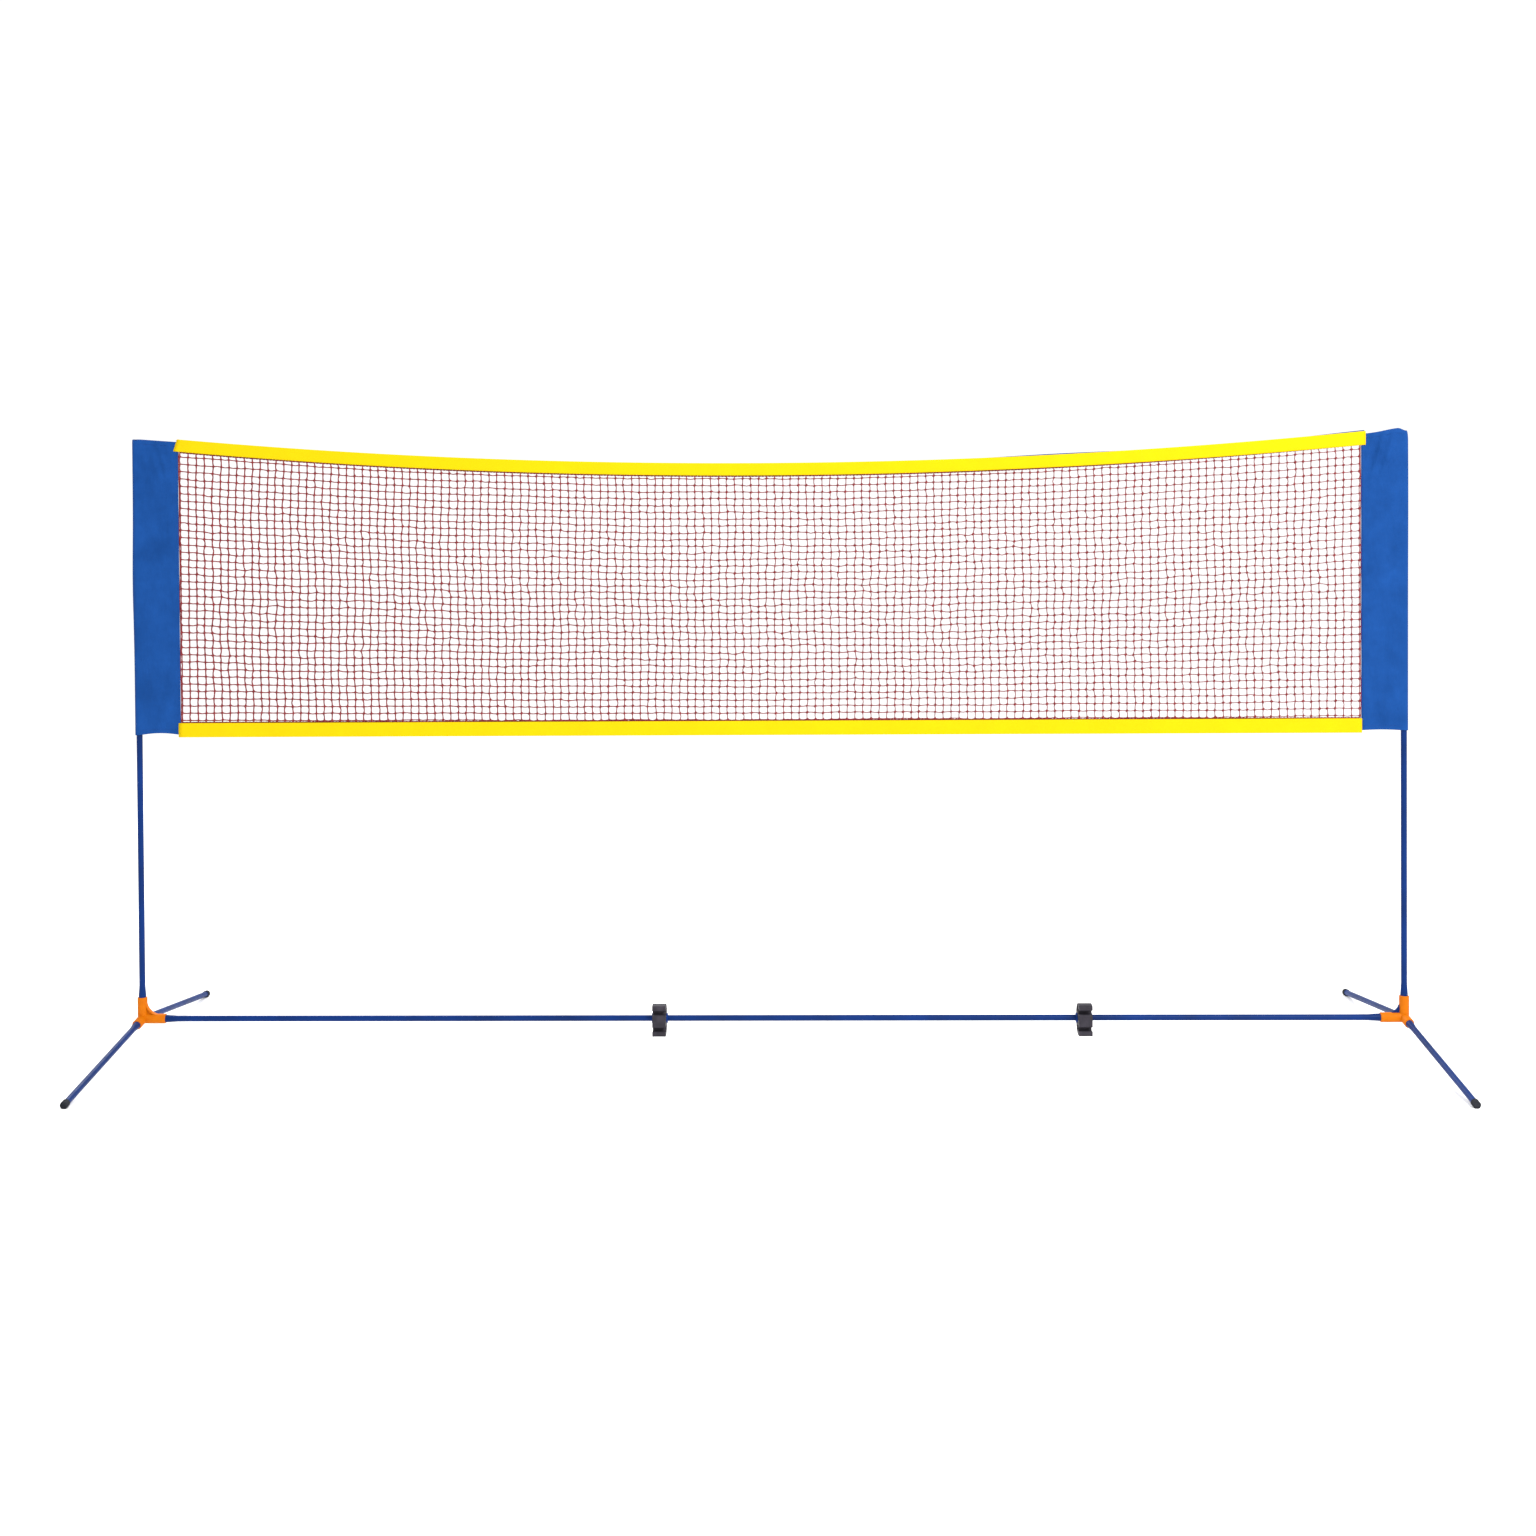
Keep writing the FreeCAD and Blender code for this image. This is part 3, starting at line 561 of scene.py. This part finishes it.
def add_top_band():
    """The top tape, which sags, is cut slanted on the left and widens towards its right end."""
    section = band_section(BAND_TALL, TAPE_COLUMNS)
    ends = (-BAND_END + 0.0085, BAND_END + 0.001)
    slant = -0.0100 / BAND_TALL
    rows = []
    for share in np.linspace(0, 1, TOP_STEPS + 1):
        start = ends[0] + slant * section[:, 1]
        across = start + (ends[1] - start) * share
        y = section[:, 0] + flutter(across, section[:, 1], np.sign(section[:, 0]), BAND_TALL)
        depth = section[:, 1] * (1 + 0.12 * share**8)
        rows.append(np.stack([across, y, sag_level(across, depth)], axis=1))
    grid = np.array(rows)
    add_tape("top_tape", grid, grid_faces(*grid.shape[:2]), "top_band")


def add_low_band():
    """The bottom tape, which is straight."""
    section = band_section(LOW_BAND_TALL, TAPE_COLUMNS)
    rows = []
    for across in np.linspace(-BAND_END + 0.005, BAND_END - 0.009, LOW_STEPS + 1):
        y = section[:, 0] + flutter(across + 1, section[:, 1], np.sign(section[:, 0]), LOW_BAND_TALL)
        level = low_low.z + section[:, 1]
        rows.append(np.stack([np.full(len(y), across), y, level], axis=1))
    grid = np.array(rows)
    faces = grid_faces(*grid.shape[:2])[:, ::-1]
    add_tape("low_tape", grid, faces, "bottom_band")


# Netting

def net_sheet():
    """The knots' places, rows by columns."""
    left = net_low.x + CORD_RADIUS
    right = net_high.x - CORD_RADIUS
    column = np.linspace(0, 1, NET_COLUMNS + 1)
    row = np.linspace(0, 1, NET_ROWS + 1)
    rows, columns = np.meshgrid(row, column, indexing="ij")
    across = left + (right - left) * columns
    foot = net_low.z + CORD_RADIUS
    head = sag_level(across, HEAD_DEPTH) - CORD_RADIUS
    level = foot + (head - foot) * rows
    rng = np.random.default_rng(11)
    inside = np.sin(rows * math.pi) ** 0.5 * np.clip(np.sin(columns * math.pi) * 12, 0, 1)
    wave_x = np.sin(rows * 13 + columns * 9) + np.sin(columns * 41 - rows * 7) * 0.6
    wave_z = np.sin(columns * 34 + rows * 5) + np.sin(columns * 13 - rows * 11) * 0.7
    hang = np.clip((1 - rows) * NET_ROWS / 3, 0, 1)
    lean = 0.012 * hang * np.exp(-4 * columns - 12 * (1 - rows)) * np.clip(columns * 30, 0, 1)
    across = across + lean + inside * (0.0013 * wave_x + rng.normal(0, 0.0012, rows.shape))
    level = level + inside * (0.0014 * wave_z + rng.normal(0, 0.0011, rows.shape))
    depth = inside * (0.0012 * np.sin(columns * 21 + rows * 8) + rng.normal(0, 0.0003, rows.shape))
    return np.stack([across, depth, level], axis=-1)


def tucked(points):
    """Whether each point lies inside one of the folded tapes."""
    under_fold = points[..., 2] > sag_level(points[..., 0], BAND_TALL)
    return under_fold | (points[..., 2] < low_high.z)


def strand(knots, bow):
    """A strand through its knots, thinner between them and to the right, each stretch bowed a little."""
    between = (knots[1:] + knots[:-1]) / 2 + bow
    path = np.empty((2 * len(knots) - 1, 3))
    path[0::2] = knots
    path[1::2] = between
    radii = CORD_RADIUS * (0.90 - 0.20 * path[:, 0] / net_high.x)
    radii[0::2] *= KNOT_SWELL
    radii = np.where(tucked(path), np.minimum(radii, 0.6 * BAND_HALF), radii)
    return tube(path, radii, 4, math.pi / 4)


def add_netting():
    """The netting: a strand along each column and row of knots, then the knots themselves."""
    knots = net_sheet()
    rng = np.random.default_rng(5)
    parts = []
    for column in range(NET_COLUMNS + 1):
        bow = np.zeros((NET_ROWS, 3))
        bow[:, 0] = rng.normal(0, 0.0007, NET_ROWS)
        parts.append(strand(knots[:, column], bow))
    for row in range(NET_ROWS + 1):
        bow = np.zeros((NET_COLUMNS, 3))
        bow[:, 2] = rng.normal(-0.0004, 0.0006, NET_COLUMNS)
        parts.append(strand(knots[row], bow))
    points, faces = joined(parts)
    piece = new_piece("netting", points, faces, MAROON, "net")
    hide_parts("net_mesh")
    tied = add_knots(knots, rng)


def add_knots(knots, rng):
    """A knot at each crossing: a small lump, longer across one diagonal."""
    ball = bmesh.new()
    bmesh.ops.create_icosphere(ball, subdivisions=1, radius=1.0)
    ball.verts.ensure_lookup_table()
    shape = np.array([vertex.co for vertex in ball.verts])
    corners = np.array([[vertex.index for vertex in face.verts] for face in ball.faces])
    ball.free()
    places = knots.reshape(-1, 3)
    angle = rng.normal(0.7, 0.3, len(places))
    size = KNOT_RADIUS * rng.uniform(0.85, 1.2, len(places))
    long_way = shape[None, :, 0] * 1.15
    short_way = shape[None, :, 2] * 0.85
    across = long_way * np.cos(angle)[:, None] - short_way * np.sin(angle)[:, None]
    up = long_way * np.sin(angle)[:, None] + short_way * np.cos(angle)[:, None]
    thick = np.where(tucked(places), 0.35, 0.8)
    lumps = np.stack([across, shape[None, :, 1] * thick[:, None], up], axis=-1)
    points = places[:, None] + lumps * size[:, None, None]
    faces = corners[None] + (np.arange(len(places)) * len(shape))[:, None, None]
    return new_piece("net_knots", points.reshape(-1, 3), faces.reshape(-1, 3), MAROON, "net")


# Cords along the net's edges

def add_edge_cords():
    """The white ropes inside the tapes, and the laid cords along the net's two ends."""
    across = np.linspace(-BAND_END + ROPE_INSET, BAND_END - ROPE_INSET, ROPE_STEPS)
    head = np.stack([across, np.zeros_like(across), sag_level(across, ROPE_DEPTH)], axis=1)
    foot_level = middle_of("foot_cord").z
    across_low = np.linspace(-BAND_END + ROPE_INSET, BAND_END - FOOT_ROPE_INSET, ROPE_STEPS)
    foot = np.stack([across_low, np.zeros_like(across), np.full_like(across, foot_level)], axis=1)
    for name, path, node in (("head_rope", head, "head_cord"), ("foot_rope", foot, "foot_cord")):
        points, faces = tube(path[::ROPE_STRIDE], ROPE_RADIUS, 7)
        piece = new_piece(name, points, faces, ROPE_WHITE, "net")
        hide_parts(node)
    for side in ("left", "right"):
        low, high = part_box(f"{side}_side_cord")
        x = (low.x + high.x) / 2
        levels = np.linspace(low.z, high.z, EDGE_CORD_STEPS)
        sway = 0.0006 * np.sin(levels * 37)
        path = np.stack([x + sway, np.zeros_like(levels), levels], axis=1)
        points, faces = twisted(path, EDGE_CORD_RADIUS)
        piece = new_piece(f"{side}_edge_cord", points, faces, MAROON, "net")
        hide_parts(f"{side}_side_cord")


def add_selvedges():
    """The doubled cords at the netting's own top and bottom edges, beside the tapes."""
    across = np.linspace(net_low.x + 0.002, net_high.x - 0.002, SELVEDGE_STEPS)
    under = sag_level(across, BAND_TALL + 0.0016)
    over = np.full_like(across, low_high.z + 0.0012)
    for name, level in (("upper_selvedge", under), ("lower_selvedge", over)):
        parts = []
        for turn in (0.0, math.pi):
            wind = across / SELVEDGE_PITCH * 2 * math.pi + turn
            depth = SELVEDGE_SWING * np.sin(wind)
            path = np.stack([across, depth, level + SELVEDGE_SWING * np.cos(wind)], axis=1)
            parts.append(tube(path, SELVEDGE_RADIUS, 4))
        points, faces = joined(parts)
        new_piece(name, points, faces, MAROON, "net")


def add_blue_binding():
    """The blue binding of the net's head, which shows over the yellow tape on the right."""
    across = np.linspace(0.45, BAND_END - 0.002, 240)
    shown = np.maximum(bell(across, 0.73, 0.16), bell(across, 1.50, 0.13))
    rise = 0.0030 * shown - 0.0012
    rows = []
    for y, depth in ((-0.0009, 0.006), (-0.0011, 0.0), (0.0, -0.0008), (0.0011, 0.0), (0.0009, 0.006)):
        level = sag_level(across, 0.0) + np.where(depth > 0, -depth, rise - depth)
        rows.append(np.stack([across, np.full_like(across, y), level], axis=1))
    grid = np.stack(rows, axis=1)
    new_piece("head_binding", grid.reshape(-1, 3), grid_faces(*grid.shape[:2]), SLEEVE_BLUE,
              "net")


# Stage

def add_floor():
    half = FLOOR_HALF
    corners = [(-half, -half, 0), (half, -half, 0), (half, half, 0), (-half, half, 0)]
    mesh = bpy.data.meshes.new("floor")
    mesh.from_pydata(corners, [], [(0, 1, 2, 3)])
    floor = bpy.data.objects.new("floor", mesh)
    bpy.context.scene.collection.objects.link(floor)
    material, tree, shader, place = new_material("floor_pale")
    tint = tinted(tree, noise(tree, place, 1.5), (0.96, 0.96, 0.96), (0.98, 0.98, 0.98))
    tree.links.new(tint, shader.inputs["Base Color"])
    shader.inputs["Roughness"].default_value = 0.9
    shader.inputs["Specular IOR Level"].default_value = DULL_SHINE
    mesh.materials.append(material)


def add_lights():
    world = bpy.data.worlds.new("studio")
    bpy.context.scene.world = world
    world.use_nodes = True
    sky = world.node_tree.nodes["Background"]
    sky.inputs["Color"].default_value = (1.0, 1.0, 1.0, 1)
    sky.inputs["Strength"].default_value = SKY_STRENGTH
    for name, (place, size, power) in LAMPS.items():
        lamp = bpy.data.lights.new(name, "AREA")
        lamp.size = size
        lamp.energy = power
        light = bpy.data.objects.new(name, lamp)
        light.location = place
        aim = LAMP_AIM - Vector(place)
        light.rotation_euler = aim.to_track_quat("-Z", "Y").to_euler()
        bpy.context.scene.collection.objects.link(light)


def add_camera():
    data = bpy.data.cameras.new("camera")
    data.sensor_width = SENSOR_MM
    data.lens = FOCAL_PX / IMAGE_PX * SENSOR_MM
    data.shift_y = DROP_PX / IMAGE_PX
    camera = bpy.data.objects.new("camera", data)
    bpy.context.scene.collection.objects.link(camera)
    forward = Vector((math.sin(YAW) * math.cos(PITCH), math.cos(YAW) * math.cos(PITCH), -math.sin(PITCH)))
    level = Vector((math.cos(YAW), -math.sin(YAW), 0))
    upright = level.cross(forward)
    right = math.cos(ROLL) * level + math.sin(ROLL) * upright
    up = -math.sin(ROLL) * level + math.cos(ROLL) * upright
    turn = Matrix((right, up, -forward)).transposed().to_4x4()
    camera.matrix_world = Matrix.Translation(EYE) @ turn
    bpy.context.scene.camera = camera


add_camera()
add_lights()
add_floor()
dress_cad_nodes()
for side in ("left", "right"):
    add_sleeve(side)
add_top_band()
add_low_band()
add_netting()
add_edge_cords()
add_selvedges()
add_blue_binding()
bpy.context.scene.view_settings.view_transform = "Standard"
